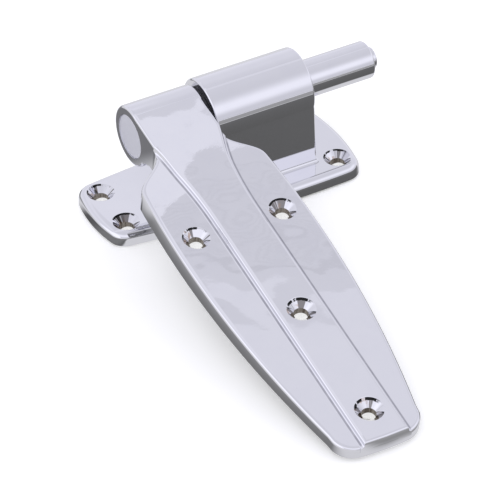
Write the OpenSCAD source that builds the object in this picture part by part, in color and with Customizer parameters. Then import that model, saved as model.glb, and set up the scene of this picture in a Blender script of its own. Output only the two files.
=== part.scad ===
// Spring-loaded offset hinge with a strap that climbs a cam as it opens
// X runs along the pin, the strap points to -Y, the mounting plate lies on Z = 0

/* [View] */

// Piece to draw, or all of them

/* [Pin axis] */

// Height of the pin axis above the back of the mounting plate
pin_h = 46.6; // [40:0.2:56]
// Angle by which the strap's back droops from the plate's plane
strap_droop = 11.1; // [0:0.1:14]

/* [Mounting plate] */

// Left end of the plate
plate_left = -62.3; // [-75:0.1:-55]
// Right end of the plate
plate_right = 80.8; // [74:0.1:90]
// Plate thickness
plate_t = 8; // [6:0.5:10]
// Widest width of the plate
plate_w = 60; // [54:0.5:70]
// Where along X the plate is widest
plate_wide_x = 42; // [20:1:55]
// Radius of the plate's long edges
plate_edge_r = 860; // [600:10:1400]
// Shift of the plate's centre line from the pin axis
plate_shift = -1.4; // [-4:0.1:4]
// Rounding of the plate's corners
plate_corner_r = 9; // [6:0.5:14]
// Bulge angle of the plate's ends
plate_bulge = 12; // [4:1:18]
// Rounding of the plate's upper edge
plate_round = 3; // [1:0.25:4]
// Position of the left pair of screw holes
left_holes_x = -49.4; // [-54:0.1:-44]
// Spacing of the left pair of screw holes
left_holes_gap = 27; // [22:0.5:32]
// Position of the right pair of screw holes
right_holes_x = 68; // [66:0.1:70]
// Spacing of the right pair of screw holes
right_holes_gap = 37; // [32:0.5:40]

/* [Upright and barrel] */

// Outer radius of the barrel
barrel_r = 18.2; // [17:0.1:21]
// Left face of the barrel
barrel_x0 = 0.5; // [0:0.1:2]
// Length of the barrel
barrel_l = 55.5; // [50:0.5:62]
// Half thickness of the upright under the barrel
upright_half = 17.6; // [14:0.1:18]
// Flare of the upright's sides down to the plate
upright_flare = 1.5; // [0:0.1:3]
// Fillet at the foot of the upright
foot_fillet = 2; // [1:0.5:4]
// Wall left around the cored hollow in the upright
upright_wall = 4.5; // [3:0.5:7]

/* [Strap] */

// Length of the strap from the pin axis to its toe
strap_l = 226; // [200:1:250]
// Widest width of the strap
strap_w = 72.8; // [68:0.2:84]
// Distance from the pin axis to the widest place
strap_wide_at = 92; // [80:1:110]
// Radius of the strap's long edges
strap_edge_r = 578; // [500:2:900]
// Thickness of the wings over the pin axis, from the back plane
wing_t = 14.4; // [12:0.1:17]
// Slope of the strap's face towards its back
strap_taper = 1.8; // [0:0.1:2.4]
// Rise of the middle band over the wings
band_rise = 3.5; // [2:0.1:5]
// Width of the middle band near the toe
band_w = 24; // [20:0.5:30]
// Distance from the pin axis to the end of the band's taper
band_even_at = 75; // [60:1:95]
// Start of the flare from the neck to the wings
flare_start = 22.5; // [19:0.5:26]
// Length of that flare
flare_l = 24; // [18:0.5:30]
// Rounding of the toe's corners
toe_r = 12; // [8:0.5:16]
// Rounding of the wings' upper edge
wing_round = 2; // [1:0.25:3]
// Rounding of the band's upper edge
band_round = 1.7; // [0.8:0.1:2]
// Depth of wall left around and over the cored back
core_wall = 4.2; // [3:0.1:6]
// Distance from the pin axis to the cored back
core_start = 52; // [46:1:60]

/* [Strap screw holes] */

// Distance from the pin axis to the pair in the wings
wing_holes_at = 80.7; // [76:0.1:90]
// Spacing of the pair in the wings
wing_holes_gap = 47.6; // [44:0.1:52]
// Distance from the pin axis to the middle hole
mid_hole_at = 142.2; // [130:0.1:155]
// Distance from the pin axis to the toe's hole
toe_hole_at = 208.5; // [200:0.1:212]

/* [Screw holes] */

// Radius of every screw hole
screw_hole_r = 3.7; // [3:0.1:4]
// Rim radius of a countersink in the plate
plate_sink_r = 6.9; // [6:0.1:8]
// Rim radius of a countersink in a wing
wing_sink_r = 6.8; // [6:0.1:8]
// Rim radius of a countersink in the band
band_sink_r = 7.2; // [6:0.1:8]

/* [Knuckle] */

// Outer radius of the knuckle
knuckle_r = 16; // [15:0.1:17.5]
// Length of the knuckle
knuckle_l = 37; // [36:0.2:44]
// Gap between the knuckle and the barrel
knuckle_gap = 2.3; // [2:0.1:5]
// Shift of the knuckle from the middle of the wings, towards the barrel
neck_shift = 1.5; // [0:0.1:3]
// Edge break of the knuckle's outer end
knuckle_round = 1.5; // [0.5:0.1:2]
// Edge break of the knuckle's end at the barrel
inner_round = 1; // [0.4:0.1:1.6]
// Radius of the plug in the knuckle's end
end_plug_r = 11.5; // [10:0.1:12.5]
// Thickness of the plug in the knuckle's end
end_plug_t = 2.4; // [1.6:0.1:3]

/* [Lifting cams] */

// Outer radius of both cams
cam_r = 14; // [13:0.1:14.4]
// Rise of the cams in a full turn
cam_rise = 18; // [12:0.5:20]
// Depth of the lowest point of the cam face inside the barrel
cam_depth = 10; // [8:0.5:12]
// Floor left under the lower cam's lowest point
cam_floor = 3.5; // [2:0.5:5]
// Wall left over the upper cam's highest point
cam_roof = 5; // [3:0.5:6]
// Play between the two cam faces
cam_play = 0.3; // [0.2:0.05:0.6]
// Side of the pinned key that stops a cam from turning
cam_key = 3; // [2:0.5:4]

/* [Spindle and spring] */

// Radius of the spindle
spindle_r = 5.5; // [5:0.1:5.6]
// Running clearance around the spindle
run_fit = 0.06; // [0.02:0.01:0.1]
// Right end of the spindle
spindle_end = 82; // [76:1:84]
// Width across the flats on the spindle's spring end
flats_w = 8; // [7:0.1:8.6]
// Where the flats on the spindle begin
flats_at = 40; // [30:1:41]
// Radius of the spindle's head
head_r = 9; // [8:0.1:10]
// Thickness of the spindle's head
head_t = 3; // [2:0.5:4]
// Radius of the spindle's drive pin
drive_pin_r = 2; // [1.5:0.1:2.5]
// Outer radius of the bushing in the barrel
bush_r = 8; // [7.5:0.1:8.4]
// Outer radius of the spring tube
tube_r = 9.7; // [9.2:0.1:11]
// Wall of the spring tube
tube_wall = 1.2; // [1:0.1:1.3]
// Length of the spring tube that stands out of the barrel
tube_out = 39.8; // [36:0.1:60]
// Length of the spring tube inside the barrel
tube_in = 15; // [12:0.5:18]
// Radius of the nose of the tube's plug
nose_r = 5.7; // [5:0.1:7.6]
// Length by which the nose stands out of the tube
nose_out = 3.2; // [1:0.1:4]
// Width of the hexagonal socket in the nose, for winding the spring
socket_w = 6; // [4:0.5:8]
// Depth of that socket
socket_depth = 5; // [3:0.5:7]
// Thickness of the rotating spring driver
driver_t = 6; // [5:0.5:7]
// Radius of the spring wire
wire_r = 0.95; // [0.8:0.05:1]
// Mean radius of the spring's coils
coil_r = 7.2; // [7:0.05:7.3]
// Number of coils
coils = 13; // [10:1:15]

/* [Hidden] */

$fn = 64;

// Allowance that lets a cut run past a face
cut = 1;
// Depth by which fixed pieces are seated in each other
seat = 0.02;
// Facets along one rounded edge
round_steps = 4;
barrel_x1 = barrel_x0 + barrel_l;
knuckle_x1 = barrel_x0 - knuckle_gap;
knuckle_x0 = knuckle_x1 - knuckle_l;
strap_x = (knuckle_x0 + knuckle_x1) / 2 - neck_shift;
neck_half = knuckle_l / 2;
tube_x0 = barrel_x1 - tube_in;
tube_x1 = barrel_x1 + tube_out;
tube_bore_r = tube_r - tube_wall;
lower_cam_floor = barrel_x0 + cam_depth + cam_floor;
upper_cam_roof = barrel_x0 + cam_depth - cam_rise - cam_play - cam_roof;
head_x = knuckle_x0 + end_plug_t + 0.6;
// Heights in the strap are measured from the pin axis, square to its back plane
// The face is set a little under the tangent, so that it meets the knuckle in a clean line
face_set = 0.06;
band_top = (knuckle_r - face_set) / cos(strap_taper);
strap_back = band_top - band_rise - wing_t;
end_gap = 0.4;
lip_t = 1.5;
plug_l = 6.5;
plug_x0 = tube_x1 - lip_t - plug_l;
driver_x0 = tube_x0 + 0.6;
washer_t = 1;

// Half width of the strap's outline at a distance s from the pin axis, before the toe
function strap_side(s) = strap_w / 2 - pow(s - strap_wide_at, 2) / (2 * strap_edge_r);
function ease(t) = t * t * t * (t * (6 * t - 15) + 10);
function strap_half(s) = s < flare_start ? neck_half : s > flare_start + flare_l ? strap_side(s) :
    neck_half + (strap_side(s) - neck_half) * ease((s - flare_start) / flare_l);
// Sideways place of the strap's centre line, which runs from the knuckle's middle to the wings'
function lean(s) = s < flare_start ? neck_shift : s > flare_start + flare_l ? 0 :
    neck_shift * (1 - ease((s - flare_start) / flare_l));
// Half width of the raised band, which meets the neck's own width
function band_spread(s) = s < flare_start ? 1 : s > band_even_at ? 0 :
    pow((band_even_at - s) / (band_even_at - flare_start), 2);
function band_half(s) = band_w / 2 + (neck_half - band_w / 2) * band_spread(s);
// Height of the wings' face over the back plane's own axis
function wing_top(s) = band_top - band_rise - s * tan(strap_taper);

// Half of an outline's end, as [distance, half width]: a rounded corner, then a shallow arc
function end_cap(tip, half, turn, corner, bulge) =
    let (last = 90 - bulge,
         v1 = half - corner * (cos(turn) - cos(last)),
         end_r = v1 / cos(last),
         u1 = tip - end_r * (1 - sin(last)) - corner * (sin(last) - sin(turn)))
    concat([for (i = [0 : 8]) let (a = turn + (last - turn) * i / 8)
                [u1 + corner * (sin(a) - sin(turn)), half - corner * (cos(turn) - cos(a))]],
           [for (i = [1 : 4]) let (a = last + bulge * i / 4)
                [tip - end_r * (1 - sin(a)), end_r * cos(a)]]);

// Closes a half outline whose last point lies on the centre line
function mirrored(half) = concat(half, [for (i = [len(half) - 2 : -1 : 0]) [half[i][0], -half[i][1]]]);

// Moves every corner of a closed outline inwards, for an outline that turns clockwise
function unit(v) = v / norm(v);
function inset(pts, d) = [for (i = [0 : len(pts) - 1])
    let (n = len(pts), a = pts[(i + n - 1) % n], b = pts[i], c = pts[(i + 1) % n],
         p = unit(b - a), q = unit(c - b), m = unit([p[1] + q[1], -p[0] - q[0]]))
    b + m * d / max(0.5, m[0] * p[1] - m[1] * p[0])];

function strap_outline() =
    let (s1 = strap_l - toe_r, turn = atan((s1 - strap_wide_at) / strap_edge_r))
    mirrored(concat([[0, neck_half]],
        [for (i = [0 : 12]) let (s = flare_start + flare_l * i / 12) [s, strap_half(s)]],
        [for (i = [1 : 11]) let (s = flare_start + flare_l + (s1 - 4 - flare_start - flare_l) * i / 11)
            [s, strap_half(s)]],
        end_cap(strap_l, strap_side(s1), turn, toe_r, 5)));

// Sides move by spread, the toe by pull, and neither passes the strap's own outline
function band_outline(spread, pull) =
    let (tip = strap_l - 0.05 - pull, reach = tip - flare_start)
    mirrored(concat([[0, min(neck_half, neck_half + spread)]],
        [for (i = [0 : 18]) let (s = flare_start + reach * pow(i / 18, 1.4))
            [s - (i == 18 ? 0.3 : 0), min(strap_half(s), band_half(s) + spread)]],
        [[tip, 0]]));

function plate_half(x) = plate_w / 2 - pow(x - plate_wide_x, 2) / (2 * plate_edge_r);
function plate_end(side, tip) =
    let (x1 = tip - side * plate_corner_r, turn = side * atan((x1 - plate_wide_x) / plate_edge_r))
    [for (p = end_cap(side * tip, plate_half(x1), turn, plate_corner_r, plate_bulge)) [side * p[0], p[1]]];
function plate_outline() =
    let (l = plate_end(-1, plate_left), r = plate_end(1, plate_right), n = len(l),
         top = concat([for (i = [n - 1 : -1 : 0]) l[i]],
             [for (i = [1 : 9]) let (x = l[0][0] + (r[0][0] - l[0][0]) * i / 10) [x, plate_half(x)]], r))
    [for (p = concat(top, [for (i = [len(top) - 2 : -1 : 1]) [top[i][0], -top[i][1]]]))
        [p[0], p[1] + plate_shift]];

function box_outline(x0, x1, y0, y1) = [[x0, y0], [x0, y1], [x1, y1], [x1, y0]];

// Caps are laced across between the two halves of an outline, from its first and last corner on
function laced(n, up) = [for (i = [0 : floor(n / 2) - 1]) let (j = n - 1 - i)
    each concat(i + 1 < j ? [up ? [i, i + 1, j] : [j, i + 1, i]] : [],
                i + 1 < j - 1 ? [up ? [i + 1, j - 1, j] : [j, j - 1, i + 1]] : [])];

// A closed solid through a stack of outlines with equal numbers of points
module loft(rings) {
    n = len(rings[0]);
    m = len(rings);
    polyhedron(
        points = [for (r = rings) each r],
        faces = concat(
            laced(n, false),
            [for (f = laced(n, true)) [for (i = f) (m - 1) * n + i]],
            [for (k = [0 : m - 2], i = [0 : n - 1]) let (j = (i + 1) % n)
                each [[k * n + i, k * n + j, (k + 1) * n + j], [k * n + i, (k + 1) * n + j, (k + 1) * n + i]]]),
        convexity = 10);
}

// Cylinder along X between two places
module rod(x0, x1, r, r2 = undef) {
    translate([x0, 0, 0]) rotate([0, 90, 0]) cylinder(h = x1 - x0, r1 = r, r2 = is_undef(r2) ? r : r2);
}

// Moves a piece that is drawn around X up to the pin axis
module on_axis() {
    translate([0, 0, pin_h]) children();
}

// Screw hole with a countersink whose rim lies at height z
module sink_hole(z, depth, rim) {
    translate([0, 0, z - depth - cut]) cylinder(h = depth + 2 * cut, r = screw_hole_r);
    translate([0, 0, z - rim + screw_hole_r])
        cylinder(h = rim - screw_hole_r + cut, r1 = screw_hole_r, r2 = rim + cut);
}

// Places children at every screw hole of the plate
module at_plate_holes() {
    for (side = [-1, 1]) {
        translate([left_holes_x, plate_shift + side * left_holes_gap / 2, 0]) children();
        translate([right_holes_x, plate_shift + side * right_holes_gap / 2, 0]) children();
    }
}

// Frame of the strap: the back plane is level, the pin axis at the origin
module strap_frame() {
    on_axis() rotate([strap_droop, 0, 0]) translate([strap_x, 0, 0]) children();
}

module plate_body() {
    base = plate_outline();
    flat = 0.5;
    loft(concat(
        [[for (p = inset(base, flat)) [p[0], p[1], 0]], [for (p = base) [p[0], p[1], flat]]],
        [for (i = [0 : round_steps]) let (a = 90 * i / round_steps)
            [for (p = inset(base, plate_round * (1 - cos(a))))
                [p[0], p[1], plate_t - plate_round * (1 - sin(a))]]]));
}

module upright_body() {
    translate([0, upright_half, 0]) rotate([90, 0, 0]) linear_extrude(2 * upright_half)
        polygon([[barrel_x0 - upright_flare, plate_t - cut], [barrel_x1 + upright_flare, plate_t - cut],
                 [barrel_x1, pin_h], [barrel_x0, pin_h]]);
    foot = box_outline(barrel_x0 - upright_flare, barrel_x1 + upright_flare, -upright_half, upright_half);
    loft(concat(
        [[for (p = inset(foot, -foot_fillet)) [p[0], p[1], plate_t - cut]]],
        [for (i = [0 : round_steps]) let (a = 90 * i / round_steps)
            [for (p = inset(foot, -foot_fillet * (1 - sin(a))))
                [p[0], p[1], plate_t + foot_fillet * (1 - cos(a))]]]));
}

module flange() {
    color("silver") difference() {
        union() {
            plate_body();
            upright_body();
            on_axis() {
                chamfer = 0.5;
                rod(barrel_x0, barrel_x0 + chamfer, barrel_r - chamfer, barrel_r);
                rod(barrel_x0 + chamfer, barrel_x1 - chamfer, barrel_r);
                rod(barrel_x1 - chamfer, barrel_x1, barrel_r, barrel_r - chamfer);
            }
        }
        at_plate_holes() sink_hole(plate_t, plate_t, plate_sink_r);
        on_axis() {
            rod(barrel_x0 - cut, lower_cam_floor, cam_r);
            rod(lower_cam_floor - cut, tube_x0, bush_r);
            rod(tube_x0 - washer_t, barrel_x1 + cut, tube_r);
            cam_key_bore(lower_cam_floor - cam_floor / 2, barrel_r);
            set_screw_bore();
        }
        core_x0 = barrel_x0 + upright_wall;
        core_x1 = barrel_x1 - upright_wall;
        core_y = upright_half - upright_wall;
        translate([core_x0, -core_y, -cut])
            cube([core_x1 - core_x0, 2 * core_y, pin_h - cam_r - upright_wall + cut]);
    }
}

// Radial hole in the back of a cam housing for the key pin
module cam_key_bore(x, r) {
    translate([x, 0, 0]) rotate([-90, 0, 0]) cylinder(h = r + cut, r = cam_key / 2);
}

module cam_key_pin(x, r) {
    translate([x, cam_r - cam_key, 0]) rotate([-90, 0, 0])
        cylinder(h = r - cam_r + cam_key - seat, r = cam_key / 2 - seat);
}

module set_screw_bore() {
    translate([tube_x0 + tube_in / 2, 0, 0]) rotate([-90, 0, 0]) cylinder(h = barrel_r + cut, r = cam_key / 2);
}

module barrel_bushing() {
    color("tan") on_axis() difference() {
        rod(lower_cam_floor, tube_x0 - washer_t - seat, bush_r - seat);
        rod(lower_cam_floor - cut, tube_x0 + cut, spindle_r + run_fit);
    }
}

// Ring with a screw-shaped face that climbs by one rise in a turn, drawn around Z
// Its flat face lies at height base, the screw face starts at height start
module cam_ring(base, start, r_in, r_out, first) {
    n = 60;
    span = 360 - first;
    function ring_pts(r, z0, rise) = [for (i = [0 : n]) let (a = first + span * i / n)
        [r * cos(a), r * sin(a), z0 + rise * i / n]];
    face_rise = cam_rise * span / 360;
    z1 = start + cam_rise * first / 360;
    pts = concat(ring_pts(r_in, z1, face_rise), ring_pts(r_out, z1, face_rise),
                 ring_pts(r_in, base, 0), ring_pts(r_out, base, 0));
    up = base < start;
    function turned(f) = up ? f : [for (i = [len(f) - 1 : -1 : 0]) f[i]];
    m = n + 1;
    polyhedron(points = pts, convexity = 8, faces = [for (f = concat(
        [for (i = [0 : n - 1]) each [
            [i, i + 1, m + i + 1], [i, m + i + 1, m + i],
            [2 * m + i, 3 * m + i, 3 * m + i + 1], [2 * m + i, 3 * m + i + 1, 2 * m + i + 1],
            [m + i, m + i + 1, 3 * m + i + 1], [m + i, 3 * m + i + 1, 3 * m + i],
            [i, 2 * m + i + 1, i + 1], [i, 2 * m + i, 2 * m + i + 1]]],
        [[0, m, 3 * m, 2 * m], [n, 2 * m + n, 3 * m + n, m + n]])) turned(f)]);
}

// Cams are drawn around Z and laid along the pin, climbing towards -X
module cam_frame() {
    on_axis() rotate([0, -90, 0]) rotate([0, 0, 180]) children();
}

module lower_cam() {
    color("dimgray") difference() {
        cam_frame() cam_ring(-lower_cam_floor, -barrel_x0 - cam_depth, spindle_r + 0.4, cam_r - run_fit, 2);
        on_axis() cam_key_bore(lower_cam_floor - cam_floor / 2, barrel_r);
    }
}

module lower_cam_key() {
    color("gray") on_axis() cam_key_pin(lower_cam_floor - cam_floor / 2, barrel_r - 1);
}

module upper_cam() {
    color("darkslategray") difference() {
        cam_frame() cam_ring(-upper_cam_roof, -barrel_x0 - cam_depth + cam_play, spindle_r + seat,
                             cam_r - run_fit, 2);
        on_axis() rotate([strap_droop, 0, 0]) cam_key_bore(upper_cam_roof + cam_roof / 2, knuckle_r);
    }
}

module upper_cam_key() {
    color("gray") on_axis() rotate([strap_droop, 0, 0])
        cam_key_pin(upper_cam_roof + cam_roof / 2, knuckle_r - 1);
}

module spring_tube() {
    color("gainsboro") on_axis() difference() {
        chamfer = 0.5;
        union() {
            rod(tube_x0, tube_x1 - chamfer, tube_r - seat);
            rod(tube_x1 - chamfer, tube_x1, tube_r - seat, tube_r - chamfer);
        }
        rod(tube_x0 - cut, tube_x1 - lip_t, tube_bore_r);
        rod(tube_x0 - cut, tube_x1 + cut, nose_r + seat);
        set_screw_bore();
        plug_pin_bore();
    }
}

module tube_set_screw() {
    x = tube_x0 + tube_in / 2;
    color("gray") on_axis() translate([x, tube_bore_r + seat, 0]) rotate([-90, 0, 0]) difference() {
        cylinder(h = barrel_r - tube_bore_r - 1, r = cam_key / 2 - seat);
        translate([0, 0, barrel_r - tube_bore_r - 3]) cylinder(h = 3, r = 0.8, $fn = 6);
    }
}

module plug_pin_bore() {
    translate([plug_x0 + plug_l / 2, 0, 0]) rotate([-90, 0, 0]) cylinder(h = tube_r + cut, r = wire_r + 0.25);
}

module tube_plug() {
    leg_x = plug_x0 - cut;
    color("silver") on_axis() difference() {
        union() {
            rod(plug_x0, tube_x1 - lip_t - seat, tube_bore_r - seat);
            rod(tube_x1 - lip_t - cut, tube_x1 + nose_out - 0.6, nose_r);
            rod(tube_x1 + nose_out - 0.6, tube_x1 + nose_out, nose_r, nose_r - 0.6);
        }
        spring_leg_bore(leg_x, 1 + 3.2, coils * 360);
        plug_pin_bore();
        translate([tube_x1 + nose_out - socket_depth, 0, 0]) rotate([0, 90, 0])
            cylinder(h = socket_depth + cut, r = socket_w / 2 / cos(30), $fn = 6);
    }
}

module plug_pin() {
    color("gray") on_axis() translate([plug_x0 + plug_l / 2, 1, 0]) rotate([-90, 0, 0])
        cylinder(h = tube_r - 1.4, r = wire_r + 0.25 - seat);
}

// Hole for the leg of the spring that turns into a piece at an angle
module spring_leg_bore(x, l, a) {
    rotate([a, 0, 0]) translate([x, 0, coil_r]) rotate([0, 90, 0]) cylinder(h = l, r = wire_r + 0.1);
}

module spring_driver() {
    color("silver") on_axis() difference() {
        rod(driver_x0, driver_x0 + driver_t, tube_bore_r - run_fit);
        rotate([strap_droop, 0, 0]) translate([driver_x0 - cut, -flats_w / 2 - run_fit, -flats_w / 2 - run_fit])
            cube([driver_t + 2 * cut, flats_w + 2 * run_fit, flats_w + 2 * run_fit]);
        spring_leg_bore(driver_x0 + driver_t - 3.2, 3.2 + cut, 0);
    }
}

module thrust_washer() {
    color("tan") on_axis() difference() {
        rod(tube_x0 - washer_t, tube_x0, tube_r - seat);
        rod(tube_x0 - washer_t - cut, tube_x0 + cut, spindle_r + 0.4);
    }
}

// Round wire wound around X, with a straight leg at each end
module torsion_spring() {
    leg = 3;
    x0 = driver_x0 + driver_t + wire_r + 0.2;
    x1 = plug_x0 - wire_r - 0.2;
    per_turn = 20;
    total = coils * per_turn;
    lean = atan((x1 - x0) / coils / (2 * PI * coil_r));
    // Each station is [centre along X, angle around X, tilt of the section]
    stations = concat(
        [[x0 - leg, 0, 90], [x0 - wire_r, 0, 90], [x0, 4, 45]],
        [for (i = [1 : total - 1]) [x0 + (x1 - x0) * i / total, 360 * i / per_turn, lean]],
        [[x1, 360 * coils - 4, 45], [x1 + wire_r, 360 * coils, 90], [x1 + leg, 360 * coils, 90]]);
    sides = 8;
    rings = [for (s = stations) [for (k = [0 : sides - 1]) let (b = 360 * k / sides,
            dr = wire_r * cos(b), dx = wire_r * sin(b) * cos(s[2]), dt = -wire_r * sin(b) * sin(s[2]))
        [s[0] + dx, -(coil_r + dr) * sin(s[1]) - dt * cos(s[1]), (coil_r + dr) * cos(s[1]) - dt * sin(s[1])]]];
    color("dimgray") on_axis() loft(rings);
}

// One outline of the strap as a ring of points in the strap's frame
function strap_ring(pts, heights) = [for (i = [0 : len(pts) - 1])
    [pts[i][1] + lean(pts[i][0]), -pts[i][0], heights[i]]];

module wing_body() {
    base = strap_outline();
    low = 0.6;
    tops = [for (p = base) wing_top(p[0])];
    flat_ring = inset(base, low);
    loft(concat(
        [strap_ring(flat_ring, [for (p = base) strap_back]),
         strap_ring(base, [for (p = base) strap_back + low])],
        [for (i = [0 : round_steps]) let (a = 90 * i / round_steps, pts = inset(base, wing_round * (1 - cos(a))))
            strap_ring(pts, [for (p = pts) wing_top(p[0]) - wing_round * (1 - sin(a))])]));
}

module band_body() {
    foot = 1.8;
    loft(concat(
        [let (pts = band_outline(foot, 0)) strap_ring(pts, [for (p = pts) wing_top(p[0]) - wing_round - cut])],
        [for (i = [0 : round_steps - 1]) let (a = 90 * i / round_steps, pts = band_outline(foot * (1 - sin(a)), 0))
            strap_ring(pts, [for (p = pts) wing_top(p[0]) + foot * (1 - cos(a))])],
        [for (i = [0 : round_steps]) let (a = 90 * i / round_steps, d = band_round * (1 - cos(a)),
                                          pts = band_outline(-d, d))
            strap_ring(pts, [for (p = pts) wing_top(p[0]) + band_rise - band_round * (1 - sin(a))])]));
}

// Cored hollow in the back of the strap, with bosses left around the screw holes
module strap_core() {
    base = strap_outline();
    difference() {
        intersection() {
            loft([for (k = [0, 1]) let (pts = inset(base, core_wall + k))
                strap_ring(pts, [for (p = pts) k == 0 ? strap_back - cut : wing_top(p[0]) - core_wall])]);
            translate([-strap_w / 2, -strap_l, strap_back - 2 * cut])
                cube([strap_w, strap_l - core_start, wing_t + band_rise]);
        }
        boss_r = band_sink_r + 2;
        translate([0, 0, strap_back - 2 * cut]) {
            at_strap_holes() cylinder(h = wing_t + band_rise, r = boss_r);
            translate([-core_wall / 2, -toe_hole_at, 0])
                cube([core_wall, toe_hole_at - core_start + cut, wing_t + band_rise]);
        }
    }
}

module at_strap_holes() {
    for (side = [-1, 1]) translate([side * wing_holes_gap / 2, -wing_holes_at, 0]) children();
    for (s = [mid_hole_at, toe_hole_at]) translate([0, -s, 0]) children();
}

// Web under the neck, filleted into the knuckle
module neck_web() {
    fillet = 5;
    cy = sqrt(pow(knuckle_r + fillet, 2) - pow(fillet - strap_back, 2));
    low = atan2(fillet - strap_back, cy);
    translate([-neck_half, 0, 0]) rotate([90, 0, 90]) linear_extrude(knuckle_l)
        polygon(concat([[0, 0], [-cy, 0]], [for (i = [0 : 6]) let (a = 90 + (low - 90) * i / 6)
            [-cy + fillet * cos(a), strap_back - fillet + fillet * sin(a)]]));
}

module strap() {
    color("silver") difference() {
        strap_frame() {
            wing_body();
            band_body();
            translate([neck_shift, 0, 0]) {
                neck_web();
                rod(-neck_half, -neck_half + knuckle_round, knuckle_r - knuckle_round, knuckle_r);
                rod(-neck_half + knuckle_round, neck_half - inner_round, knuckle_r);
                rod(neck_half - inner_round, neck_half, knuckle_r, knuckle_r - inner_round);
            }
        }
        strap_frame() {
            for (side = [-1, 1]) translate([side * wing_holes_gap / 2, -wing_holes_at, 0])
                sink_hole(wing_top(wing_holes_at), wing_t, wing_sink_r);
            for (s = [mid_hole_at, toe_hole_at]) translate([0, -s, 0])
                sink_hole(wing_top(s) + band_rise, wing_t + band_rise, band_sink_r);
            strap_core();
        }
        on_axis() {
            rod(knuckle_x0 - cut, head_x, end_plug_r);
            rod(head_x - cut, head_x + head_t, head_r);
            rod(head_x, knuckle_x1 + cut, spindle_r);
            rod(upper_cam_roof, knuckle_x1 + cut, cam_r);
            rotate([strap_droop, 0, 0]) {
                cam_key_bore(upper_cam_roof + cam_roof / 2, knuckle_r);
                drive_pin_bore();
            }
        }
    }
}

// The drive pin ties the spindle to the knuckle
module drive_pin_bore() {
    translate([(head_x + head_t + upper_cam_roof) / 2, -knuckle_r + 3, 0]) rotate([-90, 0, 0])
        cylinder(h = 2 * knuckle_r, r = drive_pin_r);
}

module drive_pin() {
    color("gray") on_axis() rotate([strap_droop, 0, 0])
        translate([(head_x + head_t + upper_cam_roof) / 2, -knuckle_r + 3 + seat, 0]) rotate([-90, 0, 0])
            cylinder(h = 2 * knuckle_r - 4, r = drive_pin_r - seat);
}

module spindle() {
    color("lightgray") on_axis() difference() {
        union() {
            rod(head_x, head_x + head_t - seat, head_r - seat);
            rod(head_x + head_t - cut, flats_at, spindle_r - seat);
            intersection() {
                rod(flats_at - cut, spindle_end, spindle_r - seat);
                rotate([strap_droop, 0, 0]) translate([flats_at - cut, -flats_w / 2, -flats_w / 2])
                    cube([spindle_end, flats_w, flats_w]);
            }
        }
        rotate([strap_droop, 0, 0]) drive_pin_bore();
    }
}

module end_plug() {
    x0 = knuckle_x0 + end_gap;
    color("lightgray") on_axis() {
        rod(x0, x0 + 0.4, end_plug_r - 0.4, end_plug_r - seat);
        rod(x0 + 0.4, x0 + end_plug_t, end_plug_r - seat);
    }
}

flange();
barrel_bushing();
lower_cam();
lower_cam_key();
spring_tube();
tube_set_screw();
tube_plug();
plug_pin();
thrust_washer();
torsion_spring();
spring_driver();
strap();
upper_cam();
upper_cam_key();
spindle();
drive_pin();
end_plug();
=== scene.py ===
import math

import bpy
import numpy as np
from mathutils import Matrix, Vector


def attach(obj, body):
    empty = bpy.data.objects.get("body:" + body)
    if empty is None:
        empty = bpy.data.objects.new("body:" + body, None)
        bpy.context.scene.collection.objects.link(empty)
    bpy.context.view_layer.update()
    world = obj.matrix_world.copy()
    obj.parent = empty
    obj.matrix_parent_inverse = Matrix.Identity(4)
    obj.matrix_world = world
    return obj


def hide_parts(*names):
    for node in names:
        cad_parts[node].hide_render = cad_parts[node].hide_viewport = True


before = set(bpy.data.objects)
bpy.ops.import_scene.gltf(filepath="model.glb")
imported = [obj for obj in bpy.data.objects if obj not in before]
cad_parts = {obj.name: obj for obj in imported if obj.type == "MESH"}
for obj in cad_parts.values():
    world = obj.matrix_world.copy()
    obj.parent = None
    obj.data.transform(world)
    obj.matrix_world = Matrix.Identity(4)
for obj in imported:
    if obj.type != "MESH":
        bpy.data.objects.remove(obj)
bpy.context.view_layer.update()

# Studio
# A pale sweep inside a white light tent, seen from in front and to the left with a long lens.
# Dark cards lie around the hinge where only its polished faces see them, as in a product photograph; the
# patches under the strap, left of the plate and behind the knuckle are painted shade on the table.
scene = bpy.context.scene
scene.view_settings.view_transform = "Standard"
# Chromed walls face each other in the cored back, where light is mirrored many times
scene.cycles.glossy_bounces = 8

LOOK_AT = Vector((0.0, -0.0519, -0.00344))
TOWARDS_CAMERA = Vector((-0.3832, -0.6891, 0.6151)).normalized()
CAMERA_DISTANCE = 2.4298
HALF_FRAME_PX = 250
FOCAL_LENGTH_PX = 4917.7

camera = bpy.data.objects.new("camera", bpy.data.cameras.new("camera"))
scene.collection.objects.link(camera)
scene.camera = camera
camera.location = LOOK_AT + CAMERA_DISTANCE * TOWARDS_CAMERA
camera.rotation_euler = TOWARDS_CAMERA.to_track_quat("Z", "Y").to_euler()
camera.data.angle = 2 * math.atan(HALF_FRAME_PX / FOCAL_LENGTH_PX)
camera.data.clip_end = 20


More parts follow.
